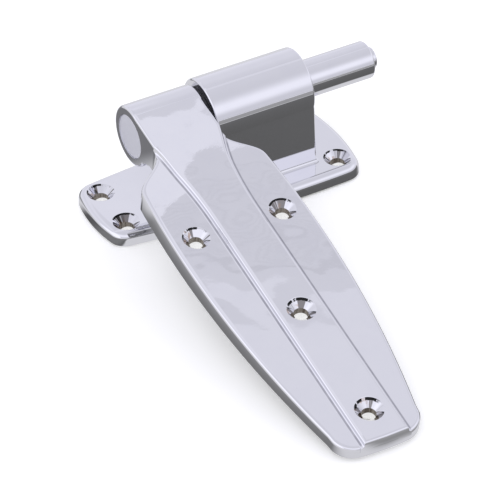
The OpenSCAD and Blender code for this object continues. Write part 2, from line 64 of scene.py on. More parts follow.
class Value:
    """A shader socket that can be added, multiplied and so on."""

    def __init__(self, look, socket):
        self.look, self.socket = look, socket

    def math(self, operation, *others, swapped=False):
        terms = [self, *others][::-1 if swapped else 1]
        return self.look.node("ShaderNodeMath", {"operation": operation}, dict(enumerate(terms)))

    def __add__(self, other):
        return self.math("ADD", other)

    def __radd__(self, other):
        return self.math("ADD", other)

    def __sub__(self, other):
        return self.math("SUBTRACT", other)

    def __rsub__(self, other):
        return self.math("SUBTRACT", other, swapped=True)

    def __mul__(self, other):
        return self.math("MULTIPLY", other)

    def __rmul__(self, other):
        return self.math("MULTIPLY", other)

    def __truediv__(self, other):
        return self.math("DIVIDE", other)

    def __rtruediv__(self, other):
        return self.math("DIVIDE", other, swapped=True)

    def __pow__(self, other):
        return self.math("POWER", other)

    def __neg__(self):
        return self.math("MULTIPLY", -1.0)

    def __abs__(self):
        return self.math("ABSOLUTE")

    def between(self, low, high):
        """0 below low, 1 above high, and a soft step from one to the other."""
        return self.look.node("ShaderNodeMapRange", {"interpolation_type": "SMOOTHSTEP"},
                              {"Value": self, "From Min": low, "From Max": high})


class Look:
    """The node tree of a material or of the world."""

    def __init__(self, name, owner=None):
        self.owner = owner or bpy.data.materials.new(name)
        self.owner.use_nodes = True
        self.tree = self.owner.node_tree
        self.tree.nodes.clear()

    def node(self, kind, settings, sockets, output=0):
        """Adds a node: its settings first, then its sockets, and returns one output."""
        made = self.tree.nodes.new(kind)
        for key, value in settings.items():
            setattr(made, key, value)
        for key, value in sockets.items():
            if isinstance(value, Value):
                self.tree.links.new(value.socket, made.inputs[key])
            else:
                made.inputs[key].default_value = value
        return Value(self, made.outputs[output]) if made.outputs else None

    def place(self, coordinates="Object"):
        """Object coordinates in metres, or for the sky the direction as Generated."""
        return self.node("ShaderNodeTexCoord", {}, {}, coordinates)

    def parts(self, vector):
        """The X, Y and Z of a vector."""
        split = self.node("ShaderNodeSeparateXYZ", {}, {"Vector": vector}).socket.node
        return [Value(self, output) for output in split.outputs]

    def noise(self, where, scale, detail=3.0, roughness=0.5):
        return self.node("ShaderNodeTexNoise", {}, {"Vector": where, "Scale": scale, "Detail": detail,
                                                    "Roughness": roughness})

    def blend(self, factor, first, second):
        """A colour between two others, each a colour or an output."""
        return self.node("ShaderNodeMix", {"data_type": "RGBA"},
                         {"Factor": factor, 6: first, 7: second}, 2)

    def bump(self, height, strength, distance, normal=None):
        sockets = {"Height": height, "Strength": strength, "Distance": distance}
        if normal is not None:
            sockets["Normal"] = normal
        return self.node("ShaderNodeBump", {}, sockets)

    def metal(self, color, roughness, normal, metallic=1.0, glow=None):
        sockets = {"Base Color": color, "Roughness": roughness, "Metallic": metallic, "Normal": normal}
        if glow is not None:
            sockets.update({"Emission Color": glow, "Emission Strength": 1.0})
        shader = self.node("ShaderNodeBsdfPrincipled", {}, sockets)
        self.node("ShaderNodeOutputMaterial", {}, {"Surface": shader})
        return self.owner


def stage_plane(name, half_width, z, material):
    """A level card that isn't part of the object."""
    mesh = bpy.data.meshes.new(name)
    corners = [(-half_width, -half_width, z), (half_width, -half_width, z),
               (half_width, half_width, z), (-half_width, half_width, z)]
    mesh.from_pydata(corners, [], [(0, 1, 2, 3)])
    card = bpy.data.objects.new(name, mesh)
    scene.collection.objects.link(card)
    card.data.materials.append(material)
    return card


def gray(level):
    return (level, level, level, 1)


FLOOR_HALF, FLOOR_Z = 6.0, -0.0006
paper = Look("paper")
fleck = paper.noise(paper.place(), 30.0)
shade = paper.blend(fleck, (0.88, 0.88, 0.885, 1), gray(0.90))
seen = paper.node("ShaderNodeLightPath", {}, {}, "Is Camera Ray")
paper.metal(shade, 0.9, paper.bump(fleck, 0.05, 0.001), 0.0,
            paper.blend(seen, gray(0), (0.25, 0.25, 0.235, 1)))
stage_plane("floor", FLOOR_HALF, FLOOR_Z, paper.owner)

# The cards are soft-edged patches of one sheet, placed in metres, that only mirror-like reflections see;
# the ones under the strap, left of the plate and behind the knuckle are painted shade of the hinge on the
# table
SHEET_HALF, SHEET_Z = 1.2, -0.0003
LIMIT_Y = -0.05
table = Look("table")
where = table.place()
grain = table.noise(where, 9.0, 2.0)
across, along = table.parts(where)[:2]
leftward, forward = -across, -along
ragged = 0.02 * grain
slanted_edge = across - 0.16 * (along - LIMIT_Y) + ragged
strap_edge = across + 0.0762 - 1.05 * (along - LIMIT_Y) * (along - LIMIT_Y)
past_toe = forward.between(0.2222, 0.2285)
before_flange = (slanted_edge.between(0.004, 0.02) * (forward + ragged).between(0.034, 0.042)
                 * (1 - forward.between(0.2, 0.215) * (1 - past_toe)))
under_toe = before_flange * past_toe
clear_of_plate = 1 - across.between(-0.062, -0.055) * (1 - forward.between(0.04, 0.06))
# Painted shadow: the strap's shadow on the table, seen only in the polished faces
painted_shadow_under_strap = (strap_edge.between(-0.015, 0.001) * (1 - across.between(-0.03, -0.01))
               * (1 - forward.between(0.205, 0.222)) * forward.between(-0.005, 0.01) * clear_of_plate)
# Painted shade on the table next to the plate's left end, seen only in reflections
painted_shade_left_of_plate = (leftward.between(0.056, 0.058) * (1 - leftward.between(0.070, 0.080))
                * along.between(-0.036, -0.033) * (1 - along.between(0.008, 0.022)))
# Painted shade on the table behind the knuckle and the plate's left end, seen only in reflections
painted_shade_behind_knuckle = (leftward.between(0.05, 0.056) * (1 - leftward.between(0.085, 0.1))
                  * along.between(0.020, 0.042))
tone = table.blend(grain, (0.64, 0.64, 0.66, 1), (0.74, 0.74, 0.76, 1))
for card, card_color in ((before_flange, (0.092, 0.092, 0.089, 1)), (under_toe, gray(0.30)),
                         (painted_shade_left_of_plate, gray(0.07)), (painted_shadow_under_strap, gray(0.17)),
                         (painted_shade_behind_knuckle, (0.16, 0.16, 0.165, 1))):
    tone = table.blend(card, tone, card_color)
table.metal(gray(0.02), 0.9, table.bump(grain, 0.02, 0.001), 0.0, tone)
sheet = stage_plane("table_top", SHEET_HALF, SHEET_Z, table.owner)
sheet.visible_camera = sheet.visible_diffuse = sheet.visible_shadow = False

sky = Look("sky", bpy.data.worlds.new("sky"))
scene.world = sky.owner
ray = sky.place("Generated")
sideways, ahead, height = sky.parts(ray)


def tint(level):
    """The faintly violet white of the light tent at a brightness level."""
    return (level, level, level * 1.095, 1)


back_wall = sky.blend(height.between(0.05, 0.5), tint(0.86), tint(0.79))
back_wall = sky.blend(height.between(0.6, 0.85), back_wall, tint(0.735))
above_plate = ((1 - sideways.between(0.362, 0.378)) * height.between(0.5, 0.55)
               * (1 - height.between(0.66, 0.7)))
back_wall = sky.blend(above_plate, back_wall, tint(0.84))
front_wall = sky.blend(height.between(0.14, 0.46), tint(0.70), tint(1.0))
front_wall = sky.blend(height.between(0.55, 0.86), front_wall, tint(0.71))
tent = sky.blend((-ahead).between(-0.15, 0.3), back_wall, front_wall)
tent = sky.blend((-sideways).between(0.75, 0.85), tent, tint(1.15))

# Seams and folds of the tent's cloth cross the reflection in the strap's long face
SEAM = 0.0004
FACE_SIDEWAYS = 0.3832
folds = ahead + 0.003 * sky.noise(ray, 26.0, 1.0, 0.4)
aside = sideways - FACE_SIDEWAYS
lower_folds = folds + 0.42 * aside
upper_folds = folds - 0.3 * aside
crown_folds = folds + 0.29 * aside
cloth = tint(0.80)
for place, width, level in ((0.3424, 2 * SEAM, 0.725), (0.3497, SEAM, 0.65), (0.3513, 2 * SEAM, 0.715)):
    cloth = sky.blend(lower_folds.between(place, place + width), cloth, tint(level))
for place in (0.3535, 0.3556, 0.3577, 0.3605, 0.3630, 0.3652, 0.3680):
    stripe = (lower_folds.between(place, place + SEAM)
              * (1 - lower_folds.between(place + SEAM, place + 3 * SEAM)))
    cloth = sky.blend(0.5 * stripe, cloth, tint(0.6))
cloth = sky.blend(upper_folds.between(0.3755, 0.3755 + SEAM), cloth, tint(0.865))
cloth = sky.blend(crown_folds.between(0.3812, 0.3812 + SEAM), cloth, tint(0.735))
overhead = ahead.between(0.2, 0.25) * (1 - ahead.between(0.386, 0.388)) * height.between(0.7, 0.75)
tent = sky.blend(overhead, tent, cloth)
tent = sky.blend(1 - height.between(-0.03, 0.015), tent, (0.25, 0.24, 0.24, 1))
lit = sky.node("ShaderNodeBackground", {}, {"Color": tent, "Strength": 1.0})
sky.node("ShaderNodeOutputWorld", {}, {"Surface": lit})

for name, spot, width, power in (("key", (-0.9, -0.7, 1.7), 1.4, 9.0),
                                 ("fill", (1.4, 0.3, 1.2), 1.2, 4.0)):
    lamp = bpy.data.objects.new(name, bpy.data.lights.new(name, "AREA"))
    lamp.data.size = width
    lamp.data.energy = power
    lamp.location = spot
    lamp.rotation_euler = Vector(spot).to_track_quat("Z", "Y").to_euler()
    lamp.visible_glossy = False
    scene.collection.objects.link(lamp)

# Flange
# A zinc casting of mounting plate, upright and barrel in one, ground and polished by hand, then chromed.
# The upright is cored from the back, and a key pin and a set screw go in through the barrel's rear.
MM = 0.001
PIN_H = 46.6
PLATE_T = 8.0
PLATE_LEFT, PLATE_RIGHT = -61.2, 80.2
PLATE_SHIFT = -1.4
PLATE_HALF, PLATE_WIDE_AT = 30.0, 42.0
BACK_EDGE_R, FRONT_EDGE_R = 860.0, 660.0
PLATE_CORNER, PLATE_BULGE = 9.0, math.radians(12)
PLATE_ROUND, PLATE_FOOT = 4.2, 0.5
BARREL_R, BARREL_LEFT, BARREL_RIGHT = 18.2, 0.5, 56.0
BARREL_ROUND_LEFT, BARREL_ROUND_RIGHT = 1.2, 1.0
UPRIGHT_HALF, UPRIGHT_CORNER, UPRIGHT_FILLET, DRAFT = 17.6, 1.1, 2.0, 1.5
CAM_R, CAM_SEAT = 14.0, 14.0
BUSHING_R = 8.0
TUBE_R, TUBE_SEAT = 9.7, 40.0
POCKET_LEFT, POCKET_RIGHT, POCKET_HALF, POCKET_TOP = 5.0, 51.5, 13.1, 28.1
SIDE_BORE_R, SIDE_BORES = 1.5, (12.25, 48.5)
HOLE_R, SOFT_RIM = 3.7, 0.35
PLATE_SINK_R, PLATE_BORE_TOP = 6.9, 5.4
PLATE_HOLES = [(-49.4, PLATE_SHIFT + 13.5), (-49.4, PLATE_SHIFT - 13.5),
               (68.0, PLATE_SHIFT + 18.5), (68.0, PLATE_SHIFT - 18.5)]
CUT = 1.0
SHARP = math.radians(32)
quarter = np.linspace(0, math.pi / 2, 9)
on_pin = Matrix.Translation((0, 0, PIN_H))


def end_cap(tip, half, turn, corner, bulge):
    """Half of an outline's end: a rounded corner, then a shallow arc to the centre line."""
    last = math.pi / 2 - bulge
    end_half = half - corner * (math.cos(turn) - math.cos(last))
    end_r = end_half / math.cos(last)
    start = tip - end_r * (1 - math.sin(last)) - corner * (math.sin(last) - math.sin(turn))
    rounded = [(start + corner * (math.sin(t) - math.sin(turn)),
                half - corner * (math.cos(turn) - math.cos(t)))
               for t in turn + (last - turn) * np.linspace(0, 1, 14)]
    shallow = [(tip - end_r * (1 - math.sin(t)), end_r * math.cos(t))
               for t in last + bulge * np.linspace(0, 1, 9)[1:]]
    return rounded + shallow


def inset(outline, distance):
    """Moves every corner of a clockwise outline inwards."""
    before = outline - np.roll(outline, 1, 0)
    after = np.roll(outline, -1, 0) - outline
    before /= np.linalg.norm(before, axis=1, keepdims=True)
    after /= np.linalg.norm(after, axis=1, keepdims=True)
    inwards = np.stack([before[:, 1] + after[:, 1], -before[:, 0] - after[:, 0]], 1)
    inwards /= np.linalg.norm(inwards, axis=1, keepdims=True)
    slant = np.maximum(0.5, inwards[:, 0] * before[:, 1] - inwards[:, 1] * before[:, 0])
    return outline + inwards * distance / slant[:, None]


def solid(name, rings):
    """A closed mesh through a stack of rings."""
    n, m = len(rings[0]), len(rings)
    faces = [tuple(range(n))[::-1], tuple((m - 1) * n + i for i in range(n))]
    faces += [(k * n + i, k * n + (i + 1) % n, (k + 1) * n + (i + 1) % n, (k + 1) * n + i)
              for k in range(m - 1) for i in range(n)]
    mesh = bpy.data.meshes.new(name)
    mesh.from_pydata([tuple(p * MM) for r in rings for p in np.asarray(r, float)], [], faces)
    made = bpy.data.objects.new(name, mesh)
    scene.collection.objects.link(made)
    bpy.context.view_layer.objects.active = made
    made.select_set(True)
    bpy.ops.object.mode_set(mode="EDIT")
    bpy.ops.mesh.select_all(action="SELECT")
    bpy.ops.mesh.normals_make_consistent(inside=False)
    bpy.ops.object.mode_set(mode="OBJECT")
    made.select_set(False)
    return made


def turned(name, profile, axis="X", sides=128):
    """A closed solid of revolution through (place, radius) pairs; the ends get flat caps."""
    t = np.linspace(0, 2 * math.pi, sides, endpoint=False)
    rings = []
    for place, radius in profile:
        level, u, v = np.full(sides, place), radius * np.cos(t), radius * np.sin(t)
        rings.append(np.stack([level, u, v] if axis == "X" else [u, v, level], 1))
    return solid(name, rings)


def rim(a, r, da, dr, steps=6):
    """The profile of a quarter round from (a, r - dr) to (a + da, r)."""
    t = np.linspace(0, math.pi / 2, steps + 1)
    return [(a + da * (1 - math.cos(x)), r - dr * (1 - math.sin(x))) for x in t]


def combined(target, operation, *tools):
    """Joins solids to target or cuts them out of it, and removes them."""
    for tool in tools:
        step = target.modifiers.new("step", "BOOLEAN")
        step.operation, step.object, step.solver = operation, tool, "EXACT"
        bpy.context.view_layer.update()
        evaluated = target.evaluated_get(bpy.context.evaluated_depsgraph_get())
        result = bpy.data.meshes.new_from_object(evaluated)
        target.modifiers.clear()
        old, target.data = target.data, result
        bpy.data.meshes.remove(old)
        bpy.data.objects.remove(tool)
    return target


def placed(piece, matrix):
    """Applies a matrix given in millimetres to a mesh in metres."""
    matrix = matrix.copy()
    matrix.translation *= MM
    piece.data.transform(matrix)
    return piece


def block(name, x0, x1, y0, y1, z0, z1):
    return solid(name, [np.array([(x0, y0, z), (x0, y1, z), (x1, y1, z), (x1, y0, z)]) for z in (z0, z1)])


def screw_hole(rim_r, top, x, y):
    """The cutter of a countersunk hole with a slightly softened rim, along Z in its own frame."""
    below, beyond = -30, 3
    profile = [(below, HOLE_R), (top - rim_r + HOLE_R, HOLE_R),
               (top - SOFT_RIM * 0.7, rim_r - SOFT_RIM * 0.7),
               (top - SOFT_RIM * 0.25, rim_r - SOFT_RIM * 0.1),
               (top, rim_r + SOFT_RIM * 0.6), (top + beyond, rim_r + beyond)]
    return placed(turned("hole", profile, "Z", 96), Matrix.Translation((x, y, 0)))


def chromed(name, wave=0.0012, waves_per_metre=15.0):
    """Bright chrome over a casting that isn't quite flat: its look, tone, sheen and normal."""
    look = Look(name)
    where = look.place()
    slow = look.noise(where, waves_per_metre, 1.5, 0.4)
    fine = look.noise(where, 420.0, 3.0, 0.55)
    smudge = look.noise(where, 95.0, 5.0, 0.62)
    tone = look.blend(smudge.between(0.35, 0.75), (0.83, 0.83, 0.865, 1), (0.815, 0.815, 0.855, 1))
    normal = look.bump(fine, 0.01, 0.0001, look.bump(slow, 0.3, wave))
    return look, tone, 0.012 + 0.03 * smudge.between(0.5, 0.85), normal


def around(look, x, y, holes):
    """Direction from the nearest hole's axis as x and y, the distance, and a number for the hole."""
    sums = [0.0, 0.0, 0.0, 0.0]
    for i, (hole_x, hole_y) in enumerate(holes):
        dx, dy = x - hole_x, y - hole_y
        far = (dx * dx + dy * dy) ** 0.5
        inside = 1 - far.between(8.0, 8.4)
        sums = [total + part for total, part in
                zip(sums, (inside * dx / far, inside * dy / far, inside * far, inside * (2.3 * i)))]
    return sums


def sunk_chrome(name, spot, holes):
    """Chrome in the countersinks with painted reflections as dark radial streaks, brown towards the left,
    and burnt chips at the far rim.
    """
    look, tone, sheen, normal = chromed(name)
    ux, uy, far, tag = around(look, *spot(look)[:2], holes)
    ray_of = look.node("ShaderNodeCombineXYZ", {}, {"X": ux, "Y": uy, "Z": tag})
    streak = look.noise(ray_of, 1.7, 3.0, 0.6)
    chips = look.noise(look.place(), 900.0, 2.0, 0.5)
    # Painted reflection: dark radial streaks, weighted towards the far wall
    facing = (uy - 0.35 * ux).between(-0.2, 0.7)
    painted_dark_reflection = (streak + 0.10 * facing - 0.05).between(0.56, 0.60)
    tone = look.blend(0.8 * painted_dark_reflection, tone, (0.10, 0.085, 0.075, 1))
    brown = look.noise(look.place(), 330.0, 2.0).between(0.55, 0.62) * (-ux).between(-0.6, 0.3)
    tone = look.blend(0.7 * brown, tone, (0.42, 0.27, 0.17, 1))
    chipped = ((far + 0.7 * chips).between(6.55, 6.75) * (streak + 0.15 * chips).between(0.50, 0.54)
               * uy.between(0.2, 0.6))
    tone = look.blend(chipped, tone, gray(0.02))
    return look.metal(tone, sheen + 0.03, normal)


def bare_bore(name, spot, holes):
    """Unplated metal in a screw hole with a faint painted glow, and a painted pale glow at its open end
    where light comes in from the hollow behind.
    """
    look = Look(name)
    grit = look.noise(look.place(), 900.0, 4.0, 0.6)
    x, y, depth = spot(look)
    ux, uy, far, tag = around(look, x, y, holes)
    ray_of = look.node("ShaderNodeCombineXYZ", {}, {"X": ux, "Y": uy, "Z": tag})
    streak = look.noise(ray_of, 2.2, 3.0, 0.6).between(0.42, 0.6)
    tone = look.blend(streak, (0.27, 0.245, 0.21, 1), (0.10, 0.078, 0.06, 1))
    # Painted light: the bore walls glow faintly in place of the light that they would catch
    glow = look.blend(streak, (0.03, 0.026, 0.022, 1), (0.01, 0.008, 0.006, 1))
    # Painted light: the open end is pale and glows as if lit from beyond the hole
    painted_light_at_open_end = (depth + 0.8 * ux).between(3.8, 4.1)
    tone = look.blend(painted_light_at_open_end, tone, gray(0.45))
    glow = look.blend(painted_light_at_open_end, glow, gray(0.55))
    return look.metal(tone, 0.42 + 0.2 * grit, look.bump(grit, 0.25, 0.0003), 0.1, glow)


def dress_holes(piece, to_frame, holes):
    """Gives bores the second material and countersinks the third."""
    bore_reach, sink_reach = HOLE_R + 0.15, 7.5
    turn = to_frame.to_3x3()
    for face in piece.data.polygons:
        corners = [to_frame @ (piece.data.vertices[i].co / MM) for i in face.vertices]
        reach = min(max(math.hypot(at.x - x, at.y - y) for at in corners) for x, y in holes)
        if reach < bore_reach:
            face.material_index = 1
        elif reach < sink_reach and 0.3 < (turn @ face.normal).z < 0.97:
            face.material_index = 2


def finished(piece, node, body, materials):
    """Smooth shading that keeps flat faces flat, the look, and the body that the piece rides on."""
    piece.data.shade_smooth()
    piece.data.set_sharp_from_angle(angle=SHARP)
    weighted = piece.modifiers.new("even shading", "WEIGHTED_NORMAL")
    weighted.keep_sharp = True
    for material in materials:
        piece.data.materials.append(material)
    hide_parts(node)
    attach(piece, body)
    return piece


def plate_side(edge_r):
    """Half of the plate's outline, from the left end's middle over the long edge to the right end's."""

    def half(x):
        return PLATE_HALF - (x - PLATE_WIDE_AT) ** 2 / (2 * edge_r)

    ends = []
    for side, tip in ((-1, PLATE_LEFT), (1, PLATE_RIGHT)):
        x1 = tip - side * PLATE_CORNER
        turn = side * math.atan((x1 - PLATE_WIDE_AT) / edge_r)
        cap = end_cap(side * tip, half(x1), turn, PLATE_CORNER, PLATE_BULGE)
        ends.append([(side * u, v) for u, v in cap])
    left, right = ends
    return left[::-1] + [(x, half(x)) for x in np.linspace(left[0][0], right[0][0], 60)[1:-1]] + right


def level_ring(pts, z):
    return np.column_stack([pts, np.full(len(pts), z)])


def rounded_box(x0, x1, y0, y1, r):
    """A clockwise rectangle with rounded corners."""
    out = []
    centres = ((x0 + r, y0 + r, 270), (x0 + r, y1 - r, 180), (x1 - r, y1 - r, 90), (x1 - r, y0 + r, 0))
    for cx, cy, start in centres:
        out += [(cx + r * math.cos(math.radians(start - a)), cy + r * math.sin(math.radians(start - a)))
                for a in np.linspace(0, 90, 6)]
    return np.array(out)


def upright_ring(z, spread):
    out = DRAFT * (PIN_H - z) / (PIN_H - PLATE_T) + spread
    side = UPRIGHT_HALF + spread
    box = rounded_box(BARREL_LEFT - out, BARREL_RIGHT + out, -side, side, UPRIGHT_CORNER + spread)
    return level_ring(box, z)


front_side = [(x, -y) for x, y in plate_side(FRONT_EDGE_R)[-2:0:-1]]
plate_outline = np.array(plate_side(BACK_EDGE_R) + front_side) + (0, PLATE_SHIFT)
plate_rings = [level_ring(inset(plate_outline, PLATE_FOOT), 0), level_ring(plate_outline, PLATE_FOOT)]
plate_rings += [level_ring(inset(plate_outline, PLATE_ROUND * (1 - math.cos(a))),
                           PLATE_T - PLATE_ROUND * (1 - math.sin(a))) for a in quarter]
flange = solid("hinge_flange", plate_rings)
upright_rings = [upright_ring(PLATE_T - UPRIGHT_FILLET, UPRIGHT_FILLET)]
upright_rings += [upright_ring(PLATE_T + UPRIGHT_FILLET * (1 - math.cos(a)),
                               UPRIGHT_FILLET * (1 - math.sin(a))) for a in quarter]
upright_rings += [upright_ring(z, 0) for z in np.linspace(PLATE_T + UPRIGHT_FILLET, PIN_H, 6)[1:]]
upright = solid("upright", upright_rings)
barrel_profile = rim(BARREL_LEFT, BARREL_R, BARREL_ROUND_LEFT, BARREL_ROUND_LEFT)
barrel_profile += rim(BARREL_RIGHT, BARREL_R, -BARREL_ROUND_RIGHT, BARREL_ROUND_RIGHT)[::-1]
barrel = turned("barrel", barrel_profile, sides=192)
combined(flange, "UNION", upright, placed(barrel, on_pin))

inside = turned("inside", [(-CUT, CAM_R), (CAM_SEAT, CAM_R), (CAM_SEAT, BUSHING_R), (TUBE_SEAT, BUSHING_R),
                           (TUBE_SEAT, TUBE_R), (BARREL_RIGHT + 2 * CUT, TUBE_R)])
pocket = block("pocket", POCKET_LEFT, POCKET_RIGHT, -POCKET_HALF, POCKET_HALF, -CUT, POCKET_TOP)
to_rear = Matrix.Rotation(-math.pi / 2, 4, "X")
side_bores = [placed(turned("side_bore", [(2, SIDE_BORE_R), (20, SIDE_BORE_R)], "Z", 32),
                     Matrix.Translation((x, 0, PIN_H)) @ to_rear) for x in SIDE_BORES]
combined(flange, "DIFFERENCE", pocket, placed(inside, on_pin), *side_bores,
         *[screw_hole(PLATE_SINK_R, PLATE_T, x, y) for x, y in PLATE_HOLES])


def plate_spot(look):
    """Place on the plate and depth under a countersink's end, in millimetres."""
    x, y, z = (1000 * part for part in look.parts(look.place()))
    return x, y, PLATE_BORE_TOP - z


chrome, tone, sheen, normal = chromed("polished_chrome")
chrome.metal(tone, sheen, normal)
finished(flange, "flange", "flange_side",
         [chrome.owner, bare_bore("bare_bore_plate", plate_spot, PLATE_HOLES),
          sunk_chrome("countersunk_chrome_plate", plate_spot, PLATE_HOLES)])
dress_holes(flange, Matrix.Identity(4), PLATE_HOLES)

# Spring tube and its plug
# A drawn tube pressed into the barrel's end, its lip rolled over the plug that anchors the spring.
# The plug's nose stands out of the tube and has a hexagonal socket, by which the spring is wound.
TUBE_LEFT, TUBE_RIGHT, TUBE_PLAY, TUBE_ROUND = 41.0, 95.8, 0.02, 1.2
TUBE_BORE_R, LIP_AT, LIP_R = 8.5, 94.3, 5.8
PLUG_LEFT, PLUG_STEP, PLUG_RIGHT = 87.8, 94.25, 99.0
PLUG_R, NOSE_R, NOSE_ROUND = 8.45, 5.7, 0.7
SOCKET_R, SOCKET_FLOOR, SOCKET_CONE = 3.464, 94.0, 0.7

tube = turned("spring_housing", [(TUBE_LEFT, TUBE_R - TUBE_PLAY)]
              + rim(TUBE_RIGHT, TUBE_R - TUBE_PLAY, -TUBE_ROUND, TUBE_ROUND, 10)[::-1], sides=160)
hollow = turned("hollow", [(TUBE_LEFT - CUT, TUBE_BORE_R), (LIP_AT, TUBE_BORE_R), (LIP_AT, LIP_R),
                           (TUBE_RIGHT + CUT, LIP_R)])
combined(tube, "DIFFERENCE", hollow)
finished(placed(tube, on_pin), "spring_tube", "flange_side", [chrome.owner])

plug = turned("winding_plug", [(PLUG_LEFT, PLUG_R), (PLUG_STEP, PLUG_R), (PLUG_STEP, NOSE_R)]
              + rim(PLUG_RIGHT, NOSE_R, -NOSE_ROUND, NOSE_ROUND)[::-1], sides=128)
socket = turned("socket", [(SOCKET_FLOOR, 0.4), (SOCKET_FLOOR + SOCKET_CONE, SOCKET_R),
                           (PLUG_RIGHT + CUT, SOCKET_R)], sides=6)
combined(plug, "DIFFERENCE", socket)
finished(placed(plug, on_pin), "tube_plug", "flange_side", [chrome.owner])

# Cams and inner pieces
# Sintered cams, dark and oily, of which only the rims show in the gap between knuckle and barrel.
# The pieces inside the barrels keep their CAD shape and get the finish that they have when taken apart.
cam_look = Look("sintered_cam")
pores = cam_look.noise(cam_look.place(), 1500.0, 3.0, 0.7)
cam_look.metal(cam_look.blend(pores.between(0.4, 0.65), (0.035, 0.035, 0.038, 1), (0.09, 0.09, 0.095, 1)),
               0.45 + 0.2 * pores, cam_look.bump(pores, 0.4, 0.0002), 0.85)

machined = Look("machined_steel")
stretched = machined.node("ShaderNodeVectorMath", {"operation": "MULTIPLY"},
                          {0: machined.place(), 1: (6.0, 1.0, 1.0)})
marks = machined.noise(stretched, 900.0, 2.0)
steel_tone = machined.blend(marks, (0.42, 0.42, 0.44, 1), (0.56, 0.56, 0.58, 1))
machined.metal(steel_tone, 0.28 + 0.12 * marks, machined.bump(marks, 0.15, 0.0001))

wire = Look("spring_wire")
scale_marks = wire.noise(wire.place(), 700.0, 4.0, 0.6)
wire.metal(wire.blend(scale_marks.between(0.35, 0.7), (0.10, 0.10, 0.115, 1), (0.20, 0.19, 0.19, 1)),
           0.35 + 0.2 * scale_marks, wire.bump(scale_marks, 0.2, 0.0001), 0.9)

bronze = Look("bearing_bronze")
pores = bronze.noise(bronze.place(), 1300.0, 3.0, 0.65)
bronze.metal(bronze.blend(pores.between(0.35, 0.7), (0.52, 0.36, 0.18, 1), (0.36, 0.24, 0.12, 1)),
             0.38 + 0.2 * pores, bronze.bump(pores, 0.3, 0.0002), 0.9)

for look, nodes in ((cam_look, ("lower_cam", "upper_cam")), (wire, ("torsion_spring",)),
                    (bronze, ("barrel_bushing", "thrust_washer")),
                    (machined, ("lower_cam_key", "upper_cam_key", "tube_set_screw", "plug_pin",
                                "spring_driver", "spindle", "drive_pin"))):
    for node in nodes:
        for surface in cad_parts[node].material_slots:
            surface.material = look.owner

# Strap
# The other zinc casting, polished and chromed like the first: knuckle, neck, wings and raised band.
# Its back is cored, with a boss left around each of the four screw holes and a rib down the middle.
STRAP_X, DROOP = -21.8, math.radians(11.1)
LENGTH, TOE_CORNER, TOE_BULGE = 225.9, 12.0, math.radians(5)
WING_HALF, WIDE_AT, EDGE_R = 36.4, 92.0, 578.0
NECK_HALF, NECK_X = 18.5, 1.5
FLARE_START, FLARE_END = 22.5, 46.5
BAND_HALF, BAND_EVEN_AT, BAND_RISE, BAND_SPREAD, BAND_ROUND = 12.0, 75.0, 3.5, 1.8, 1.7
TAPER_ANGLE = math.radians(1.8)
TAPER = math.tan(TAPER_ANGLE)
KNUCKLE_R = 16.0
WING_T, WING_ROUND, BACK_ROUND = 14.4, 2.0, 1.2
BAND_TOP = (KNUCKLE_R - 0.03) / math.cos(TAPER_ANGLE)
BACK = (KNUCKLE_R - 0.06) / math.cos(TAPER_ANGLE) - BAND_RISE - WING_T
WEB_FILLET = 5.0
CORE_WALL, CORE_SLOPE, CORE_ROOF, CORE_START, BOSS_R, RIB_HALF = 4.2, 1.0, 4.2, 52.0, 9.2, 2.1
OUTSIDE, BELOW, OVER, RIB_START = 50.0, -10.0, 30.0, 50.0
TOE_HOLE = 208.5
STRAP_HOLES = [(-23.8, 80.7, 0.0, 6.8), (23.8, 80.7, 0.0, 6.8), (0.0, 142.2, BAND_RISE, 7.2),
               (0.0, TOE_HOLE, BAND_RISE, 7.2)]
DISC_R, HEAD_R, SPINDLE_R = 11.5, 9.0, 5.5
BAND_BORE_TOP, WING_BORE_DROP = 12.5, 3.1
KNUCKLE_ROUND_LEFT, KNUCKLE_ROUND_RIGHT = 1.5, 1.0
DISC_SEAT, HEAD_SEAT, UPPER_CAM_SEAT = -14.0, -11.0, 9.0
BAND_SHORT, BAND_TURN = 0.05, 0.3
strap_place = Matrix.Translation((0, 0, PIN_H)) @ Matrix.Rotation(DROOP, 4, "X")
strap_place = strap_place @ Matrix.Translation((STRAP_X, 0, 0))


def strap_side(s):
    return WING_HALF - (s - WIDE_AT) ** 2 / (2 * EDGE_R)


def flare(s):
    """0 along the neck, 1 from the end of the flare on."""
    t = np.clip((s - FLARE_START) / (FLARE_END - FLARE_START), 0, 1)
    return t ** 3 * (t * (6 * t - 15) + 10)


def strap_half(s):
    return NECK_HALF + (strap_side(s) - NECK_HALF) * flare(s)


def band_half(s):
    """Half of the band's width at its top, which narrows from the neck's."""
    narrowing = min(max((BAND_EVEN_AT - s) / (BAND_EVEN_AT - FLARE_START), 0), 1)
    return BAND_HALF + (NECK_HALF - BAND_HALF) * narrowing ** 2


def wing_top(s):
    return BAND_TOP - BAND_RISE - s * TAPER


def mirrored(half):
    return np.array(half + [(u, -v) for u, v in half[-2::-1]])


def strap_ring(pts, heights):
    return np.stack([pts[:, 1] + NECK_X * (1 - flare(pts[:, 0])), -pts[:, 0], heights], 1)


def band_outline(spread, pull):
    tip = LENGTH - BAND_SHORT - pull
    side = [(s, min(strap_half(s), band_half(s) + spread))
            for s in FLARE_START + (tip - FLARE_START) * np.linspace(0, 1, 60) ** 1.25]
    side[-1] = (tip - BAND_TURN, side[-1][1])
    return mirrored([(0.0, min(NECK_HALF, NECK_HALF + spread))] + side + [(tip, 0.0)])


